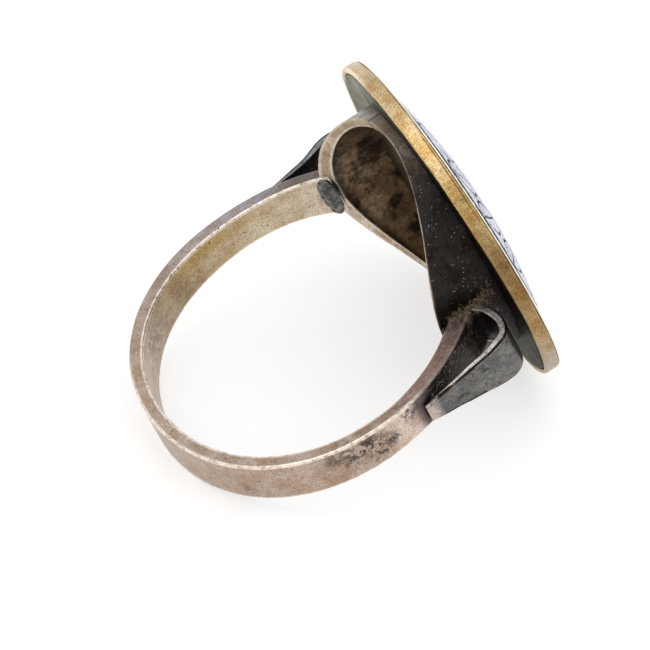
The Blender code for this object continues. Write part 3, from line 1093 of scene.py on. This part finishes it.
def lip_material():
    shader = Shader("burnished_lip")
    tone = shader.mix(shader.ramp(shader.noise(2.0, 4.0), 0.4, 0.62), rgb(224, 214, 196), rgb(160, 148, 128))
    colour = shader.mix(shader.math("MULTIPLY", shader.mark("edge"), 0.7), tone, rgb(250, 244, 232))
    shader.bump(shader.noise(8.0, 3.0), 0.01)
    return shader.done(colour, shader.ramp(shader.noise(4.0), 0.3, 0.7, 0.2, 0.4))


def plaque_material():
    shader = Shader("engraved_plaque_silver")
    tone = shader.mix(shader.ramp(shader.noise(0.7, 4.0), 0.4, 0.65), shader.tone(), rgb(176, 182, 204))
    tone = shader.mix(shader.ramp(shader.noise(9.0, 5.0, 0.7), 0.5, 0.75, 0.0, 0.35), tone, rgb(90, 92, 104))
    smudge = shader.ramp(shader.noise(3.0, 6.0, 0.72), 0.52, 0.62, 0.0, 0.75)
    tone = shader.mix(smudge, tone, rgb(74, 78, 100))
    depth = shader.ramp(shader.math("MULTIPLY", shader.mark("cut"), -1.0), 0.008, 0.040)
    colour = shader.mix(depth, tone, rgb(38, 38, 44))
    shader.bump(shader.noise(6.0, 4.0), 0.012)
    return shader.done(colour, shader.ramp(depth, 0.0, 1.0, 0.22, 0.6))


def solder_material():
    shader = Shader("dull_solder")
    tone = shader.mix(shader.ramp(shader.noise(2.2, 5.0), 0.38, 0.62), rgb(124, 124, 119), rgb(70, 70, 67))
    colour = shader.mix(shader.ramp(shader.noise(9.0, 3.0), 0.58, 0.72), tone, rgb(168, 162, 152))
    shader.bump(shader.noise(5.0, 4.0), 0.02)
    return shader.done(colour, shader.ramp(shader.noise(3.0), 0.3, 0.7, 0.42, 0.62))


def pitch_material():
    shader = Shader("setting_pitch", metallic=0.0)
    colour = shader.mix(shader.noise(2.0, 4.0), rgb(58, 46, 38), rgb(84, 68, 52))
    shader.bump(shader.noise(4.0, 4.0), 0.03)
    return shader.done(colour, shader.ramp(shader.noise(3.0), 0.3, 0.7, 0.65, 0.9))


def lint_material():
    shader = Shader("ochre_lint", metallic=0.0)
    colour = shader.mix(shader.ramp(shader.noise(5.0, 3.0), 0.40, 0.60), rgb(60, 48, 38), rgb(168, 148, 116))
    return shader.done(colour, shader.ramp(shader.noise(5.0), 0.3, 0.7, 0.75, 0.95))


# ---------------------------------------------------------------- stage


def make_camera():
    flat = math.cos(CAMERA_ELEVATION)
    toward = Vector(
        (math.sin(CAMERA_AZIMUTH) * flat, -math.cos(CAMERA_AZIMUTH) * flat, math.sin(CAMERA_ELEVATION))
    )
    level = Vector((0.0, 0.0, 1.0)).cross(toward).normalized()
    above = toward.cross(level)
    right = level * math.cos(CAMERA_ROLL) + above * math.sin(CAMERA_ROLL)
    up = toward.cross(right)
    data = bpy.data.cameras.new("camera")
    data.lens = CAMERA_LENS
    data.sensor_width = 36.0
    data.shift_x, data.shift_y = CAMERA_SHIFT
    data.clip_start = 0.01
    data.clip_end = 10.0
    camera = bpy.data.objects.new("camera", data)
    bpy.context.scene.collection.objects.link(camera)
    turned = Matrix((right, up, toward)).transposed().to_4x4()
    camera.matrix_world = Matrix.Translation(toward * CAMERA_DISTANCE) @ turned
    bpy.context.scene.camera = camera
    return right, up, toward


def make_floor():
    """A pale floor under the ring as it lies on its side. Its back is clear, so it hides no other view."""
    bm = bmesh.new()
    bmesh.ops.create_grid(bm, x_segments=8, y_segments=8, size=FLOOR_SIZE / 2)
    bmesh.ops.translate(bm, verts=bm.verts, vec=(0.0, 0.0, -FLOOR_DEPTH))
    bmesh.ops.rotate(bm, verts=bm.verts, matrix=Matrix.Rotation(FLOOR_TILT, 3, "X"))
    mesh = bpy.data.meshes.new("floor")
    bm.to_mesh(mesh)
    bm.free()
    floor = bpy.data.objects.new("floor", mesh)
    bpy.context.scene.collection.objects.link(floor)
    shader = Shader("pale_floor", metallic=0.0)
    pale = shader.mix(shader.noise(0.02, 2.0), *FLOOR_TONES)
    shader.surface.inputs["Emission Color"].default_value = (1.0, 1.0, 1.0, 1.0)
    shader.surface.inputs["Emission Strength"].default_value = FLOOR_GLOW
    shader.done(pale, 0.9)
    clear = shader.node("ShaderNodeBsdfTransparent")
    side = shader.node("ShaderNodeNewGeometry")
    joined = shader.node("ShaderNodeMixShader")
    shader.put(side.outputs["Backfacing"], joined.inputs[0])
    shader.put(shader.surface.outputs[0], joined.inputs[1])
    shader.put(clear.outputs[0], joined.inputs[2])
    shader.put(joined.outputs[0], shader.tree.nodes["Material Output"].inputs["Surface"])
    mesh.materials.append(shader.material)


def add_light(name, place, watts, colour):
    data = bpy.data.lights.new(name, "AREA")
    data.shape = "DISK"
    data.size = LAMP_SIZE
    data.energy = watts
    data.color = colour
    light = bpy.data.objects.new(name, data)
    light.location = place
    light.rotation_euler = (-place).to_track_quat("-Z", "Y").to_euler()
    bpy.context.scene.collection.objects.link(light)


def make_light(right, up, toward):
    world = bpy.data.worlds.new("studio")
    world.use_nodes = True
    background = world.node_tree.nodes["Background"]
    background.inputs["Color"].default_value = (1.0, 1.0, 1.0, 1.0)
    background.inputs["Strength"].default_value = 1.0
    bpy.context.scene.world = world
    bpy.context.scene.view_settings.view_transform = "Standard"
    for name, ((to_right, to_up, to_camera), watts, colour) in LAMPS.items():
        place = (right * to_right + up * to_up + toward * to_camera) * LAMP_DISTANCE
        add_light(name, place, watts, colour)


camera_axes = make_camera()
make_floor()
make_light(*camera_axes)
make_band()
make_strip("left")
make_strip("right")
make_collar()
make_plate()
make_rim()
make_lip()
make_plaque()
for lump_side, lump in SOLDER_LUMPS.items():
    make_solder(lump_side, *lump)
make_lint()

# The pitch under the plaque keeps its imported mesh: nothing of it shows
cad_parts["plaque_backing"].data.materials.clear()
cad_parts["plaque_backing"].data.materials.append(pitch_material())
